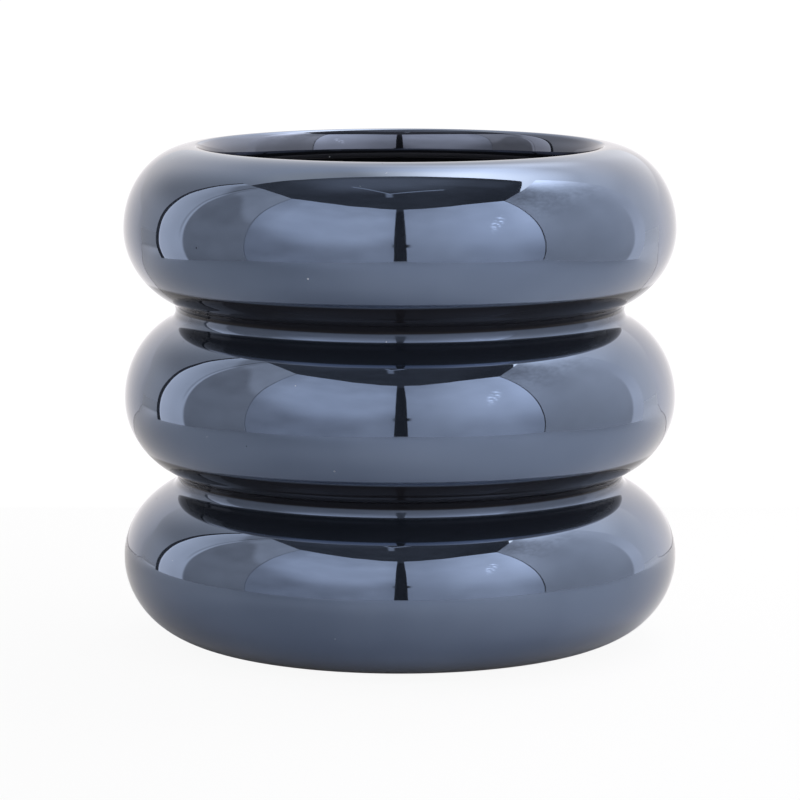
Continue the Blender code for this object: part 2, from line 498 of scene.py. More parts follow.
# painted shade: the inside of the pot, its floor and the joints' inner faces get a near black glaze with no
# mirror, for the shade deep in the hollow
hollowShadeGlaze = dict(
    outsideGlaze,
    thick=(0.026, 0.027, 0.032),
    thin=(0.036, 0.037, 0.043),
    grooveShade=(0.024, 0.024, 0.028),
    lip=(0.030, 0.031, 0.036),
    rim=(0.030, 0.031, 0.036),
    edgeTint=(1.0, 1.0, 1.0),
    mirror=0.0,
    gloss=0.65,
    roughness=0.06,
    throwingLines=0.00003,
)
slipGlaze = dict(outsideGlaze, roughness=0.04, ripple=1.6)


def makeGlaze(name, look):
    material, tree = newMaterial(name)
    feeds = {
        "Vector": objectPlace(tree),
        "Thick Color": look["thick"],
        "Thin Color": look["thin"],
        "Groove Shade Color": look["grooveShade"],
        "Lip Shade Color": look["lip"],
        "Rim Color": look["rim"],
        "Gloss Roughness": look["roughness"],
        "Ripple": look["ripple"],
        "Throwing Lines": look["throwingLines"],
        "Mirror Share": look["mirror"],
    }
    skin = addNode(tree, "Group", feeds, node_tree=glazeGroup).outputs
    setShader(tree, {
        "Base Color": skin["Color"],
        "Roughness": skin["Roughness"],
        "Normal": skin["Normal"],
        "Metallic": skin["Mirror"] if look["mirror"] else 0.0,
        "Specular IOR Level": look["gloss"],
        "Specular Tint": look["edgeTint"],
    })
    return material


stoneware = {
    "pale": (0.46, 0.43, 0.39),
    "dark": (0.34, 0.31, 0.28),
    "sand": (0.20, 0.17, 0.15),
    "cloudNoise": (70.0, 3.0),
    "cloud": (0.3, 0.7),
    "grainNoise": (900.0, 4.0, 0.65),
    "sandGrains": (0.55, 0.75),
    "roughness": 0.85,
    "bump": (0.6, 0.0002),
}


def makeStoneware():
    # the bare clay of the foot, with sand in it and the marks of the sponge
    material, tree = newMaterial("bareStoneware")
    vector = objectPlace(tree)
    grain = noise(tree, vector, *stoneware["grainNoise"])
    clouds = cloud(tree, vector, stoneware["cloudNoise"], stoneware["cloud"])
    colour = mixColour(tree, clouds, stoneware["dark"], stoneware["pale"])
    colour = mixColour(tree, ramp(tree, grain, *stoneware["sandGrains"]), colour, stoneware["sand"])
    normal = bump(tree, grain, *stoneware["bump"])
    setShader(tree, {"Base Color": colour, "Roughness": stoneware["roughness"], "Normal": normal})
    return material


silicone = {
    "cloudNoise": (240.0, 3.0),
    "cloud": (0.35, 0.65),
    "lint": {"Scale": 700.0, "Radius": 0.12, "Rarity": 0.93},
    "lintShare": 0.5,
    "lintColour": (0.6, 0.6, 0.6),
    "skinScale": 2600.0,
    "skin": (0.3, 0.7),
    "bump": (0.5, 0.00004),
    "unevenGloss": 0.06,
    "gloss": 0.5,
    "sheerDepth": 0.002,
}
plugLook = {
    "colour": (0.115, 0.115, 0.125),
    "darker": (0.085, 0.085, 0.095),
    "roughness": 0.55,
    "sheer": 0.0,
}
padLook = {
    "colour": (0.64, 0.66, 0.67),
    "darker": (0.55, 0.57, 0.59),
    "roughness": 0.35,
    "sheer": 0.3,
}


def makeSilicone(name, look):
    # moulded silicone: a faint cloudiness, a fine matt skin and clinging lint
    material, tree = newMaterial(name)
    vector = objectPlace(tree)
    clouds = cloud(tree, vector, silicone["cloudNoise"], silicone["cloud"])
    base = mixColour(tree, clouds, look["darker"], look["colour"])
    lint = multiply(tree, specks(tree, vector, silicone["lint"]), silicone["lintShare"])
    skin = noise(tree, vector, silicone["skinScale"])
    rough, uneven = look["roughness"], silicone["unevenGloss"]
    setShader(tree, {
        "Base Color": mixColour(tree, lint, base, silicone["lintColour"]),
        "Specular IOR Level": silicone["gloss"],
        "Subsurface Weight": look["sheer"],
        "Subsurface Scale": silicone["sheerDepth"],
        "Roughness": ramp(tree, skin, *silicone["skin"], rough - uneven, rough + uneven),
        "Normal": bump(tree, skin, *silicone["bump"]),
    })
    return material


speckGroup = makeSpeckGroup()
grooveShadeGroup = makeGrooveShadeGroup()
glazeGroup = makeGlazeGroup()
blueBlackGlaze = makeGlaze("blueBlackGlaze", outsideGlaze)
insideShadeGlaze = makeGlaze("insideShadeGlaze", hollowShadeGlaze)
jointGlaze = makeGlaze("glazeOverSlip", slipGlaze)
bareStoneware = makeStoneware()
plugSilicone = makeSilicone("greySilicone", plugLook)
padSilicone = makeSilicone("clearSilicone", padLook)
print("materials made")


lip = {
    "reach": 0.0030,  # from the crest in to the upright face of the mouth
    "drop": 0.0080,
    "round": 0.0020,
    "innerAngle": math.radians(58),
    "step": math.radians(4),
    "roundStep": math.radians(10),
}
foot = {
    "z": 0.0012,
    "floorRadius": 0.0560,
    "floorTop": 0.0073,
    "bareHeight": 0.0006,  # the clay is bare this far up from the foot, and this far out
    "bareRadius": 0.0690,
    "margin": 0.0001,
}
# where the outside's glaze gives way to the inside's, out of sight in the wall
finishLine = {"depth": 0.003, "middleRing": 0.0703, "bottomRing": 0.0701, "joint": 0.0702}
# the outside, the inside of the pot, and the bare clay of the foot
wallFinishes = (blueBlackGlaze, insideShadeGlaze, bareStoneware)


def isBehindWall(ring, radius, z, atLeast):
    height = ring["above" if z > ring["centre"] else "below"][1]
    angle = math.asin(max(-1.0, min(1.0, (z - ring["centre"]) / height)))
    return radius < max(atLeast, wallPoint(ring, angle, finishLine["depth"])[0])


def ringLines(ring, outsideEnds, insideEnds, neckAbove, neckBelow=None):
    section = ringSection
    outside = wallLine(ring, *outsideEnds, 0.0, section["outsideStep"], neckAbove, neckBelow)
    inside = wallLine(ring, *insideEnds, section["wall"], section["insideStep"], neckAbove, neckBelow)
    return outside, inside[::-1]


def makeTopRing():
    crestR, crestZ = wallPoint(topRing, math.pi / 2, 0.0)
    lowEnd = upperNeck["upperAngle"]
    outside, inside = ringLines(topRing, (math.pi / 2, lowEnd), (lip["innerAngle"], lowEnd), None, upperNeck)
    faceBottom = crestZ - lip["drop"]
    faceR = crestR - lip["reach"]
    under = [
        (faceR + lip["round"] * (1 - math.cos(a)), faceBottom - lip["round"] * math.sin(a))
        for a in spread(math.pi / 2, 0.0, lip["roundStep"])
    ]
    rolled = [
        (crestR - lip["reach"] * math.cos(a), faceBottom + lip["drop"] * math.sin(a))
        for a in spread(0.0, math.pi / 2, lip["step"])[1:-1]
    ]
    piece = turnPiece("topRingGlazed", outside + inside + under + rolled, ringSection["spinSteps"])
    neckRadius = upperNeck["radius"] - upperNeck["fillet"]

    def pick(radius, z):
        atLeast = 0.0 if z > topRing["centre"] else neckRadius - finishLine["depth"]
        return int(z <= faceBottom and isBehindWall(topRing, radius, z, atLeast))

    paintFaces(piece, wallFinishes, pick)
    standFor(piece, "pot", "glaze", "top_ring")


def makeMiddleRing():
    ends = (upperNeck["lowerAngle"], lowerNeck["upperAngle"])
    outside, inside = ringLines(middleRing, ends, ends, upperNeck, lowerNeck)
    piece = turnPiece("middleRingGlazed", outside + inside, ringSection["spinSteps"])

    def pick(radius, z):
        return int(isBehindWall(middleRing, radius, z, finishLine["middleRing"]))

    paintFaces(piece, wallFinishes, pick)
    standFor(piece, "pot", "glaze", "middle_ring")


def makeBottomRing():
    footAngle = -math.asin((bottomRing["centre"] - foot["z"]) / bottomRing["below"][1])
    topAngle = lowerNeck["lowerAngle"]
    outside, inside = ringLines(bottomRing, (topAngle, footAngle), (topAngle, -math.pi / 2), lowerNeck)
    seat = foot["floorRadius"] + ringSection["joint"]
    land = [(seat, foot["z"]), (seat, foot["floorTop"])]
    piece = turnPiece("bottomRingGlazed", outside + land + inside, ringSection["spinSteps"])
    underFloor = foot["floorTop"] - foot["margin"]

    def pick(radius, z):
        onFoot = z < foot["z"] + foot["bareHeight"] and radius < foot["bareRadius"]
        if onFoot or (radius < seat + foot["margin"] and z < underFloor):
            return 2
        return int(z > underFloor and isBehindWall(bottomRing, radius, z, finishLine["bottomRing"]))

    paintFaces(piece, wallFinishes, pick)
    standFor(piece, "pot", "glaze", "bottom_ring")


def makeRingJoint(name, neck, node):
    half = ringSection["joint"] / 2
    outer = neckPlaneAngle(neck, half, 0.0)
    inner = neckPlaneAngle(neck, half, ringSection["wall"])
    outline = neckLine(neck, outer, -outer, 0.0) + neckLine(neck, -inner, inner, ringSection["wall"])
    piece = turnPiece(name, outline, ringSection["spinSteps"])
    paintFaces(piece, (jointGlaze, insideShadeGlaze), lambda radius, z: int(radius < finishLine["joint"]))
    standFor(piece, "pot", "slip", node)


makeTopRing()
makeMiddleRing()
makeBottomRing()
makeRingJoint("upperJointGlazed", upperNeck, "upper_slip_joint")
makeRingJoint("lowerJointGlazed", lowerNeck, "lower_slip_joint")
print("rings and joints turned")

slab = {
    "bottom": 0.0023,
    "drainRadius": 0.0080,
    "edge": 0.0006,
    "ridgeHeight": 0.00018,  # the rings that the fingers leave
    "ridgeWidth": 0.0058,
    "ridgesFrom": 0.0155,
    "ridgesTo": 0.0532,
    "ridgeStep": 0.00065,
    "glazeDepth": 0.0008,  # below this the clay is bare
    "slipHollow": 0.0004,
    "slipStep": math.radians(15),
    "steps": 144,
}


def paintFloor(piece):
    bareBelow = foot["floorTop"] - slab["glazeDepth"]
    paintFaces(piece, (insideShadeGlaze, bareStoneware), lambda radius, z: int(z < bareBelow))


def makeFloor():
    top, radius = foot["floorTop"], foot["floorRadius"]
    count = round((slab["ridgesTo"] - slab["ridgesFrom"]) / slab["ridgeStep"])
    ridges = []
    for i in range(count + 1):
        r = slab["ridgesTo"] + (slab["ridgesFrom"] - slab["ridgesTo"]) * i / count
        turns = (r - slab["ridgesFrom"]) / slab["ridgeWidth"]
        ridges.append((r, top - slab["ridgeHeight"] * (1 - math.cos(2 * math.pi * turns)) / 2))
    outline = [(radius, slab["bottom"]), (radius, top)] + ridges
    outline += [(slab["drainRadius"], top), (slab["drainRadius"], slab["bottom"])]
    piece = turnPiece("potFloorGlazed", outline, slab["steps"])
    roundEdges(piece, slab["edge"])
    paintFloor(piece)
    standFor(piece, "pot", "glaze", "pot_floor")


def makeFloorJoint():
    # the slip is pressed down between the slab and the ring, so its top is a shallow hollow
    inner, outer = foot["floorRadius"], foot["floorRadius"] + ringSection["joint"]
    middle, half = (inner + outer) / 2, (outer - inner) / 2
    hollow = [
        (middle + half * math.cos(a), foot["floorTop"] - slab["slipHollow"] * math.sin(a))
        for a in spread(math.pi, 0.0, slab["slipStep"])
    ]
    outline = hollow + [(outer, slab["bottom"]), (inner, slab["bottom"])]
    piece = turnPiece("floorJointGlazed", outline, slab["steps"])
    paintFloor(piece)
    standFor(piece, "pot", "slip", "floor_slip_joint")


stopper = {
    "lift": 0.0001,  # the flange sits this much above the floor
    "flangeRadius": 0.0130,
    "flangeTop": 0.0023,
    "flangeGroove": (0.0088, 0.0098),
    "grooveSide": 0.0002,
    "grooveDepth": 0.0003,
    "shankRadii": (0.0077, 0.0072),
    "shankDepth": 0.0055,
    "beadHeights": (-0.0014, -0.0034),
    "beadRadius": 0.00022,
    "beadShape": (0.9, 1.6),  # (out, up) in shares of its radius
    "beadStep": math.radians(30),
    "stemRadius": 0.0030,
    "stemFlare": ((0.0, 0.0006), (0.0002, 0.0002), (0.0006, 0.0)),  # (out, up) from the flange
    "gripBottom": 0.0053,
    "gripTop": 0.0083,
    "gripRadius": 0.0050,
    "gripInset": 0.0003,
    "dishRadii": (0.0030, 0.0036),
    "dishDepth": 0.0005,
    "edge": 0.0004,
    "edgeAngle": math.radians(50),
    "steps": 72,
}


def makePlug():
    base = foot["floorTop"]
    topR, bottomR = stopper["shankRadii"]
    shank = [(topR, stopper["lift"])]
    size, (out, up) = stopper["beadRadius"], stopper["beadShape"]
    for z in stopper["beadHeights"]:
        shankR = topR + (bottomR - topR) * (stopper["lift"] - z) / stopper["shankDepth"]
        shank += [
            (shankR + out * size * math.cos(a), z + up * size * math.sin(a))
            for a in spread(math.pi / 2, -math.pi / 2, stopper["beadStep"])
        ]
    shank += [(bottomR, -stopper["shankDepth"]), (0.0, -stopper["shankDepth"])]
    dishIn, dishOut = stopper["dishRadii"]
    dishZ, inset = stopper["gripTop"] - stopper["dishDepth"], stopper["gripInset"]
    grip = [
        (0.0, dishZ),
        (dishIn, dishZ),
        (dishOut, stopper["gripTop"]),
        (stopper["gripRadius"], stopper["gripTop"]),
        (stopper["gripRadius"], stopper["gripBottom"]),
        (stopper["stemRadius"] + inset, stopper["gripBottom"]),
        (stopper["stemRadius"], stopper["gripBottom"] - inset),
    ]
    top = stopper["flangeTop"]
    stem = [(stopper["stemRadius"] + out, top + up) for out, up in stopper["stemFlare"]]
    (grooveIn, grooveOut), side = stopper["flangeGroove"], stopper["grooveSide"]
    flange = [
        (grooveIn, top),
        (grooveIn + side, top - stopper["grooveDepth"]),
        (grooveOut - side, top - stopper["grooveDepth"]),
        (grooveOut, top),
        (stopper["flangeRadius"], top),
        (stopper["flangeRadius"], stopper["lift"]),
    ]
    outline = [(r, base + z) for r, z in grip + stem + flange + shank]
    piece = turnPiece("drainPlugMoulded", outline, stopper["steps"], closed=False)
    roundEdges(piece, stopper["edge"], stopper["edgeAngle"])
    paint(piece, plugSilicone)
    standFor(piece, "plug", "plug_silicone", "drain_plug")


pads = {
    "count": 4,
    "firstTurn": math.pi / 4,
    "circle": 0.0460,
    "radius": 0.0050,
    "top": 0.0023,
    "topEdge": 0.0002,
    "domeEdge": 0.0009,
    "edgeStep": math.radians(15),
    "ring": ((0.0030, 0.0), (0.0027, 0.00025), (0.0018, 0.00025), (0.0015, 0.0)),  # sunk underneath
    "steps": 48,
}


def makePads():
    # the first pad is turned in its place, the others are copies set round the axis
    turn, step = pads["firstTurn"], 2 * math.pi / pads["count"]
    place = (pads["circle"] * math.cos(turn), pads["circle"] * math.sin(turn))
    radius, top, edge = pads["radius"], pads["top"], pads["domeEdge"]
    rounded = [
        (radius - edge + edge * math.cos(a), edge + edge * math.sin(a))
        for a in spread(0.0, -math.pi / 2, pads["edgeStep"])
    ]
    outline = [(0.0, top), (radius - pads["topEdge"], top), (radius, top - pads["topEdge"])] + rounded
    outline += [*pads["ring"], (0.0, 0.0)]
    first = turnPiece("footPadClear1", outline, pads["steps"], closed=False, axis=place)
    paint(first, padSilicone)
    copies = [first]
    for i in range(1, pads["count"]):
        deselectAll()
        first.select_set(True)
        bpy.context.view_layer.objects.active = first
        bpy.ops.object.duplicate()
        copy = bpy.context.object
        copy.name = f"footPadClear{i + 1}"
        copy.data.name = copy.name
        bpy.ops.transform.rotate(value=-step * i, orient_axis="Z", center_override=(0, 0, 0))
        bpy.ops.object.transform_apply(location=True, rotation=True, scale=True)
        copies.append(copy)
    for copy in copies:
        x, y = copy.data.vertices[0].co.x, copy.data.vertices[0].co.y
        node = 1 + round((math.atan2(y, x) % (2 * math.pi) - turn) / step)
        standFor(copy, "pot", "pad_silicone", f"foot_pad_{node}")


makeFloor()
makeFloorJoint()
makePlug()
makePads()
print("floor, plug and pads made")

camera = {
    "place": (0.0, -1.3, 0.2682),
    "pitchDown": 0.1451,
    "lens": 180.36,
    "sensor": 36.0,
    "clipEnd": 50.0,
}


def makeCamera():
    data = bpy.data.cameras.new("photoCamera")
    data.lens = camera["lens"]
    data.sensor_width = camera["sensor"]
    data.clip_end = camera["clipEnd"]
    holder = bpy.data.objects.new("photoCamera", data)
    holder.location = camera["place"]
    holder.rotation_euler = (math.pi / 2 - camera["pitchDown"], 0.0, 0.0)
    bpy.context.scene.collection.objects.link(holder)
    bpy.context.scene.camera = holder


studio = {
    "cardFoot": 0.0005,
    "roofHeight": 0.785,
    "level": 1.4,  # how bright the cards are as a whole
    "clothDetail": 3.0,
    "cardTint": (0.99, 1.0, 1.087),
    "sideTint": (1.015, 0.995, 1.025),
}


def cardMaterial(name, light, tint):
    # an evenly lit card: light is a number, or gives the strength from the card's own x, y and z
    material, tree = newMaterial(name)
    tree.nodes.remove(tree.nodes["Principled BSDF"])
    if callable(light):
        strength = multiply(tree, light(tree, *splitPlace(tree, objectPlace(tree))), studio["level"])
    else:
        strength = light * studio["level"]
    glow = addNode(tree, "Emission", {"Color": tint, "Strength": strength})
    feed(tree, tree.nodes["Material Output"].inputs["Surface"], glow.outputs["Emission"])
    return material


def standCard(name, footLine, topLine, light, tint=studio["cardTint"]):
    # a card bridged between its line on the floor and its line at the top
    card = startChain(name, footLine[0])
    pullChain(footLine)
    bpy.ops.object.mode_set(mode="OBJECT")
    other = startChain(name + "Top", topLine[0])
    pullChain(topLine)
    deselectAll()
    card.select_set(True)
    other.select_set(True)
    bpy.context.view_layer.objects.active = card
    bpy.ops.object.join()
    bpy.ops.object.mode_set(mode="EDIT")
    bpy.ops.mesh.select_all(action="SELECT")
    bpy.ops.mesh.bridge_edge_loops()
    bpy.ops.object.mode_set(mode="OBJECT")
    dressCard(card, light, tint)


def layCard(name, outline, light):
    card = startChain(name, outline[0])
    pullChain(outline)
    bpy.ops.mesh.select_all(action="SELECT")
    bpy.ops.mesh.edge_face_add()
    bpy.ops.object.mode_set(mode="OBJECT")
    dressCard(card, light, studio["cardTint"])


def dressCard(card, light, tint):
    paint(card, cardMaterial(card.name, light, tint))
    card.visible_camera = False


def atHeight(points, z):
    return [(x, y, z) for x, y in points]


# How the cards are shaded. A ramp is (from, to), or (from, to, strength there, strength here), and
# a band is (middle, half width, soft edge). Distances are in metres.
leftFrontShade = {
    "foot": [(-0.024, -0.612), (-0.10, -0.590), (-0.245, -0.505), (-0.37, -0.375), (-0.455, -0.257)],
    "topStart": (-0.017, -0.612),
    "shadeLow": (-0.228, 0.174),  # where the shade is lowest, and how high it reaches there
    "shadeCurve": 2.8,
    "shadeEdge": (-0.09, 0.10),
    "inShade": (-0.38, -0.10, 0.485, 0.61),
    "aboveShade": (-0.455, -0.38, 0.80, 1.0),
    "upwards": (0.45, 0.72, 1.0, 0.88),
    "toMiddle": (-0.09, -0.02, 1.0, 0.93),
    "blotch": (7.0, 0.30),
}
rightFrontShade = {
    "foot": [(0.030, -0.612), (0.11, -0.590), (0.245, -0.510), (0.38, -0.390), (0.466, -0.311)],
    "topStart": (0.020, -0.612),
    "rise": (0.02, 0.42, 0.63, 0.91),
    "upwards": (0.42, 0.75, 1.0, 0.85),
    "toMiddle": (0.02, 0.09, 0.94, 1.0),
    "patches": [  # along the card, and upwards
        ((0.10, 0.34), (0.08, 0.24, 0.13, 0.36)),
        ((0.36, 0.47), (0.05, 0.50, -0.12, 0.31)),
    ],
    "glintSlope": (0.350, 2.4),
    "glintAcross": (0.395, 0.015, 0.05),
    "glintAlong": (0.352, 0.008, 0.030),
    "crumpleNoise": (42.0, 1.5, 0.7),
    "crumple": (0.44, 0.62, 0.0, 1.5),
    "blotch": (7.0, 0.26),
}
leftSideShade = {
    "foot": [(-0.4565, -0.2525), (-0.445, 0.148)],
    "top": [(-0.4565, -0.2525), (-0.500, 0.148)],
    "dark": (0.0, 0.12, 0.35, 0.42),
    "hollow": ((0.18, 0.32, 0.0, -0.05), (-0.10, 0.04, 0.06)),
    "fall": (-0.25, -0.04, 0.32, 0.56),
    "overFall": (-0.03, 0.05, 0.0, 0.24),
    "strip": (0.006, 0.020),
    "stripUpwards": (0.10, 0.60, 0.62, 0.30),
    "stripAlong": [(0.05, 0.15, 0.0, 0.20), (0.138, 0.142, 0.0, 0.20)],
    "pocketSlope": 1.6,
    "pocket": (0.45, 0.56, 0.0, -0.85),
    "pocketEnds": [(-0.015, 0.015), (0.095, 0.120, 1.0, 0.0)],
    "foldUpwards": (0.10, 0.22),
    "paleFold": ((0.016, 0.002, 0.004), 0.14),
    "darkFold": ((0.029, 0.002, 0.005), -0.24),
    "blotch": (9.0, 0.16),
}
rightSideShade = {
    "foot": [(0.4675, -0.3062), (0.435, -0.05), (0.425, 0.16)],
    "top": [(0.4675, -0.3062), (0.43, -0.05), (0.38, 0.16)],
    "rise": (0.02, 0.28, 0.53, 0.75),
    "toBack": (-0.11, 0.0, 0.0, 0.09),
    "patches": [  # along the card, and upwards
        ((-0.29, -0.17, 0.13, 0.0), (0.20, 0.40)),  # the front corner
        ((-0.20, -0.06, 1.0, 0.0), (0.50, 0.68, 0.0, -0.20)),  # dimmer at the top
        ((-0.06, 0.04), (0.36, 0.52, 0.0, 0.13)),  # brighter towards the back
        ((-0.08, 0.14), (0.45, 0.80, 0.0, 2.3)),  # the lamp's glow
        ((0.085, 0.100), (0.10, 0.32, 0.46, 0.0)),  # a strip of light at the back edge
        ((0.02, 0.155), (0.15, 0.36, 0.0, 0.20)),  # which fades upwards into the room behind
    ],
    "crumpleNoise": (32.0, 4.0, 0.65),
    "crumple": (0.32, 0.50, 0.0, 0.7),
    "blotch": (6.0, 0.22),
}
roofShade = {
    "outline": [
        (0.05, -0.665), (-0.05, -0.665), (-0.25, -0.54), (-0.47, -0.27), (-0.505, 0.09), (-0.25, 0.10),
        (0.0, 0.142), (0.18, 0.115), (0.342, 0.102), (0.42, -0.07), (0.54, -0.30), (0.25, -0.54),
    ],
    "middle": -0.07,
    "fromMiddle": (0.05, 0.30, 0.18, 0.012),
    "toBack": [(-0.30, -0.08, 0.0, 1.1), (0.03, 0.10, 1.0, 0.6)],
    "patch": ((0.20, 0.09, 0.08), (-0.01, 0.04, 0.06), 0.055),
    "ground": (0.21, 0.34, 0.072, 0.048),
    "arms": [  # of a thin bent rail: its slope, a band across it and a band along x
        (-1.45, (-0.317, 0.005, 0.007), (-0.088, 0.050, 0.008)),
        (0.54, (-0.250, 0.003, 0.005), (0.054, 0.082, 0.008)),
    ],
    "rail": (-0.10, 0.06, 0.45, 0.70),
    "fitting": ((-0.037, 0.006, 0.012), (-0.300, 0.020, 0.030), 0.40),
    "blotch": (16.0, 0.05),
}
bracketShade = {  # dark in its middle and pale towards its ends
    "line": [(-0.038, -0.606), (0.050, -0.606)],
    "heights": (0.175, 0.207),
    "middle": 0.006,
    "fromMiddle": (0.021, 0.046, 0.02, 0.66),
}
backWallShade = {
    "line": [(-0.75, 0.62), (-0.42, 0.36), (-0.20, 0.245), (0.20, 0.245), (0.42, 0.36), (0.75, 0.62)],
    "height": 0.20,
    "left": (-0.65, -0.15, 0.62, 0.78),
    "right": (0.0, 0.45, 0.0, 0.24),
    "footLine": (0.002, 0.005, 0.45, 1.0),
}
# narrow plain cards: name, strength, line on the floor, and the line at the top where it differs
plainCards = [
    ("slitCard", 0.02, [(-0.12, -0.66), (0.12, -0.66)]),
    ("leftEdgeCard", 0.05, [(-0.4465, 0.149), (-0.4465, 0.172)], [(-0.501, 0.149), (-0.501, 0.166)]),
    ("leftCornerCard", 0.26, [(-0.4545, -0.258), (-0.4562, -0.2535)]),
    ("rightCornerCard", 0.05, [(0.4655, -0.3115), (0.4672, -0.3065)]),
]


def blotch(tree, scale, amount):
    # faint unevenness of the cloth
    return multiply(tree, unevenness(tree, objectPlace(tree), scale, studio["clothDetail"]), amount)


def spot(tree, x, y, across, along, strength):
    return multiply(tree, band(tree, x, *across), band(tree, y, *along), strength)


def patches(tree, look, along, z):
    return [multiply(tree, ramp(tree, along, *a), ramp(tree, z, *b)) for a, b in look["patches"]]


def leftFront(tree, x, y, z):
    # a soft shade in the lower part that climbs towards both ends
    look = leftFrontShade
    lowX, lowZ = look["shadeLow"]
    off = subtract(tree, x, lowX)
    shadeTop = add(tree, multiply(tree, off, off, look["shadeCurve"]), lowZ)
    bright = multiply(
        tree,
        ramp(tree, x, *look["aboveShade"]),
        ramp(tree, z, *look["upwards"]),
        ramp(tree, x, *look["toMiddle"]),
    )
    edge = subtract(tree, z, shadeTop)
    light = ramp(tree, edge, *look["shadeEdge"], ramp(tree, x, *look["inShade"]), bright)
    return add(tree, light, blotch(tree, *look["blotch"]))


def rightFront(tree, x, y, z):
    look = rightFrontShade
    rise = multiply(
        tree,
        ramp(tree, z, *look["rise"]),
        ramp(tree, z, *look["upwards"]),
        ramp(tree, x, *look["toMiddle"]),
    )
    # a soft crumpled glint near the right corner
    startX, slope = look["glintSlope"]
    across = subtract(tree, z, multiply(tree, subtract(tree, x, startX), slope))
    crumple = cloud(tree, objectPlace(tree), look["crumpleNoise"], look["crumple"])
    near = band(tree, across, *look["glintAcross"])
    glint = multiply(tree, crumple, near, band(tree, x, *look["glintAlong"]))
    return add(tree, rise, *patches(tree, look, x, z), glint, blotch(tree, *look["blotch"]))


def leftSide(tree, x, y, z):
    # dark in front of the bright strip at the back edge, under a line that falls to the corner
    look = leftSideShade
    upwards, along = look["hollow"]
    hollow = multiply(tree, ramp(tree, z, *upwards), band(tree, y, *along))
    dark = add(tree, ramp(tree, z, *look["dark"]), hollow)
    upper = ramp(tree, subtract(tree, z, ramp(tree, y, *look["fall"])), *look["overFall"])
    stripAlong = [ramp(tree, y, *part) for part in look["stripAlong"]]
    stripLight = add(tree, ramp(tree, z, *look["stripUpwards"]), *stripAlong)
    strip = multiply(tree, ramp(tree, y, *look["strip"]), stripLight)
    # a dark pocket where the strip runs out at its top
    climb = subtract(tree, z, multiply(tree, y, look["pocketSlope"]))
    pocketEnds = [ramp(tree, y, *end) for end in look["pocketEnds"]]
    pocket = multiply(tree, ramp(tree, climb, *look["pocket"]), *pocketEnds)
    lit = multiply(tree, mathNode(tree, "MAXIMUM", upper, strip), add(tree, pocket, 1.0))
    # a fold beside the strip: a pale line and a dark one
    high = ramp(tree, z, *look["foldUpwards"])
    folds = [
        multiply(tree, band(tree, y, *line), high, strength)
        for line, strength in (look["paleFold"], look["darkFold"])
    ]
    return add(tree, dark, lit, *folds, blotch(tree, *look["blotch"]))


def rightSide(tree, x, y, z):
    look = rightSideShade
    rise = add(tree, ramp(tree, z, *look["rise"]), ramp(tree, y, *look["toBack"]))
    crumple = unevenness(tree, objectPlace(tree), *look["crumpleNoise"])
    crumple = multiply(tree, crumple, ramp(tree, z, *look["crumple"]))
    return add(tree, rise, *patches(tree, look, y, z), crumple, blotch(tree, *look["blotch"]))


def roof(tree, x, y, z):
    look = roofShade
    middle = ramp(tree, mathNode(tree, "ABSOLUTE", subtract(tree, x, look["middle"])), *look["fromMiddle"])
    light = multiply(tree, middle, *[ramp(tree, y, *part) for part in look["toBack"]])
    light = add(tree, light, spot(tree, x, y, *look["patch"]), ramp(tree, x, *look["ground"]))
    # a thin pale rail, bent in its middle, and a crumpled fitting that hangs below the bend
    arms = []
    for slope, across, along in look["arms"]:
        off = subtract(tree, y, multiply(tree, x, slope))
        arms.append(multiply(tree, band(tree, off, *across), band(tree, x, *along)))
    rail = multiply(tree, mathNode(tree, "MAXIMUM", *arms), ramp(tree, x, *look["rail"]))
    return add(tree, light, rail, spot(tree, x, y, *look["fitting"]), blotch(tree, *look["blotch"]))


def bracket(tree, x, y, z):
    off = mathNode(tree, "ABSOLUTE", subtract(tree, x, bracketShade["middle"]))
    return ramp(tree, off, *bracketShade["fromMiddle"])


def backWall(tree, x, y, z):
    # meets the room's own brightness at its top, with a thin dark line where it stands on the floor
    look = backWallShade
    light = add(tree, ramp(tree, x, *look["left"]), ramp(tree, x, *look["right"]))
    return multiply(tree, light, ramp(tree, z, *look["footLine"]))


def makeStudio():
    low, high, sideTint = studio["cardFoot"], studio["roofHeight"], studio["sideTint"]
    fronts = (("leftFrontCard", leftFrontShade, leftFront), ("rightFrontCard", rightFrontShade, rightFront))
    for name, look, light in fronts:
        topLine = [look["topStart"]] + look["foot"][1:]
        standCard(name, atHeight(look["foot"], low), atHeight(topLine, high), light)
    sides = (("leftSideCard", leftSideShade, leftSide), ("rightSideCard", rightSideShade, rightSide))
    for name, look, light in sides:
        standCard(name, atHeight(look["foot"], low), atHeight(look["top"], high), light, sideTint)
    layCard("roofCard", atHeight(roofShade["outline"], high), roof)
    for name, strength, *lines in plainCards:
        standCard(name, atHeight(lines[0], low), atHeight(lines[-1], high), strength)
    line, (bottom, top) = bracketShade["line"], bracketShade["heights"]
    standCard("bracketCard", atHeight(line, bottom), atHeight(line, top), bracket)
    line, top = backWallShade["line"], backWallShade["height"]
    standCard("backWallCard", atHeight(line, low), atHeight(line, top), backWall, sideTint)


paleFloor = {
    "size": 24.0,
    "colour": (0.95, 0.95, 0.95),
    "dustAndFloorShade": 0.085,  # painted shade: how much dimmer it is, everywhere but in front on the right, which stays brighter as painted light
    "frontRightAcross": (0.08, 0.25),
    "frontRightAlong": (-0.25, -0.12, 1.0, 0.0),
    "shade": 0.31,  # painted shade: how much dimmer again to the left of the pot
    "shadeAcross": (-0.24, 0.08, 1.0, 0.0),
    "shadeAlong": (-0.07, 0.14, 0.26),
    # painted shade on the far floor to the left
    "farLeft": (-0.82, -0.62, 0.42, 0.0),
    "roughness": 0.9,
    "toCamera": 0.93,  # the share of plain white that the camera sees
}


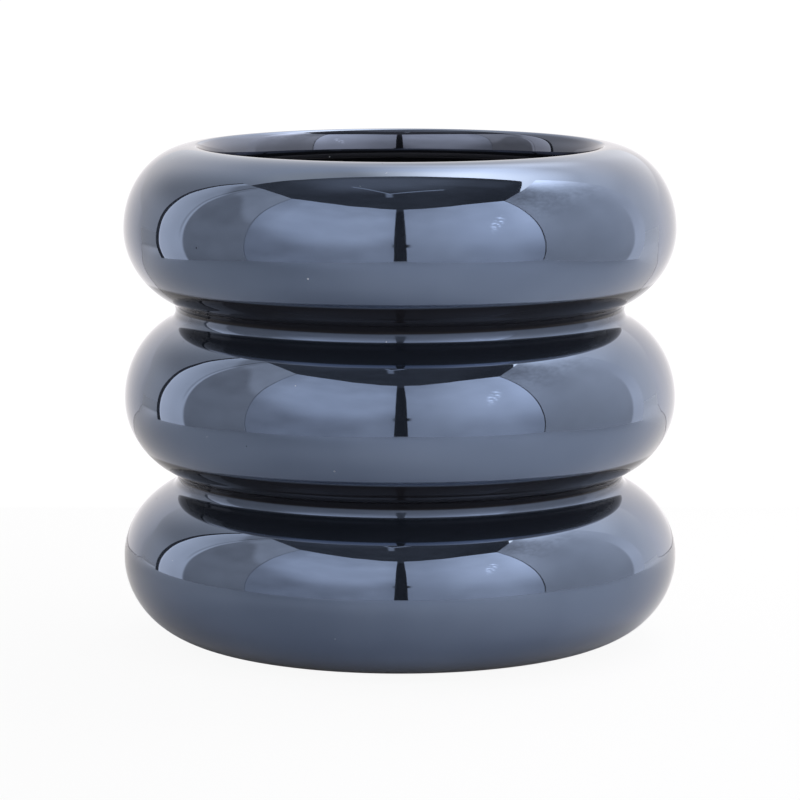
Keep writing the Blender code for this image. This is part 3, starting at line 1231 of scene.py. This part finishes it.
def makeFloorPlane():
    look = paleFloor
    deselectAll()
    bpy.ops.mesh.primitive_plane_add(size=look["size"], location=(0, 0, 0))
    floor = bpy.context.object
    floor.name = "paleFloor"
    material, tree = newMaterial("paleFloor")
    x, y, _ = splitPlace(tree, objectPlace(tree))
    # the floor's colour carries painted shade to the left of the pot and far to the left, and painted light
    # in front on the right
    left = ramp(tree, x, *look["shadeAcross"])
    shade = multiply(tree, left, band(tree, y, *look["shadeAlong"]), look["shade"])
    frontRightEnds = (ramp(tree, x, *look["frontRightAcross"]), ramp(tree, y, *look["frontRightAlong"]))
    frontRightLight = multiply(tree, *frontRightEnds, -look["dustAndFloorShade"])
    floorPaintedShade = add(tree, shade, ramp(tree, x, *look["farLeft"]), frontRightLight, look["dustAndFloorShade"])
    shader = setShader(tree, {
        "Base Color": mixColour(tree, floorPaintedShade, look["colour"], (0.0, 0.0, 0.0)),
        "Roughness": look["roughness"],
        "Specular IOR Level": 0.0,
    })
    white = addNode(tree, "Emission").outputs["Emission"]
    share = multiply(tree, addNode(tree, "LightPath").outputs["Is Camera Ray"], look["toCamera"])
    seen = addNode(tree, "MixShader", {"Fac": share, 1: shader.outputs["BSDF"], 2: white})
    # seen from below, the floor is clear, so that the pot's underside can be looked at
    below = addNode(tree, "NewGeometry").outputs["Backfacing"]
    clear = addNode(tree, "BsdfTransparent").outputs["BSDF"]
    oneSided = addNode(tree, "MixShader", {"Fac": below, 1: seen.outputs["Shader"], 2: clear})
    feed(tree, tree.nodes["Material Output"].inputs["Surface"], oneSided.outputs["Shader"])
    paint(floor, material)


room = {
    "level": 1.25,  # how bright the white room is as a whole
    "ground": 0.83,
    "right": (0.02, 0.22, 0.0, 0.32),
    "left": ((-0.72, -0.34, -0.37, 0.0), (0.18, 0.45, 0.40, 1.0)),
    # the lamp's soft glow, high up behind the right shoulder: two ramps upwards and two across
    "lowGlow": ((0.45, 0.64, 0.0, 0.85), (0.74, 0.84, 1.0, 0.35), (-0.10, 0.10), (0.15, 0.34, 1.0, 0.30)),
    "highGlow": ((0.68, 0.92, 0.0, 2.35), (0.92, 1.0, 1.0, 0.6), (-0.14, 0.19), (0.30, 0.66, 1.0, 0.75)),
    "middleTint": (0.97, 1.0, 1.08),
    "sideTint": (1.025, 1.0, 1.01),
    "toSides": (0.08, 0.45),
    "topTint": (1.06, 1.0, 0.94),
    "toTop": (0.78, 0.92),
}


def makeWorld():
    world = bpy.data.worlds.new("softWhiteRoom")
    bpy.context.scene.world = world
    world.use_nodes = True
    tree = world.node_tree
    x, _, z = splitPlace(tree, addNode(tree, "TexCoord").outputs["Generated"])
    right = ramp(tree, x, *room["right"])
    across, upwards = room["left"]
    left = multiply(tree, ramp(tree, x, *across), ramp(tree, z, *upwards))
    glows = []
    for name in ("lowGlow", "highGlow"):
        parts = [ramp(tree, place, *part) for place, part in zip((z, z, x, x), room[name])]
        glows.append(multiply(tree, *parts))
    strength = multiply(tree, add(tree, right, left, *glows, room["ground"]), room["level"])
    side = ramp(tree, mathNode(tree, "ABSOLUTE", x), *room["toSides"])
    tint = mixColour(tree, side, room["middleTint"], room["sideTint"])
    tint = mixColour(tree, ramp(tree, z, *room["toTop"]), tint, room["topTint"])
    # the camera itself sees plain white
    seen = addNode(tree, "LightPath").outputs["Is Camera Ray"]
    background = tree.nodes["Background"].inputs
    feed(tree, background["Color"], mixColour(tree, seen, tint, (1.0, 1.0, 1.0)))
    feed(tree, background["Strength"], addNode(tree, "Mix", {0: seen, 2: strength, 3: 1.0}).outputs[0])


makeCamera()
makeStudio()
makeFloorPlane()
makeWorld()
bpy.context.scene.view_settings.view_transform = "Standard"
print("camera, floor and light set")
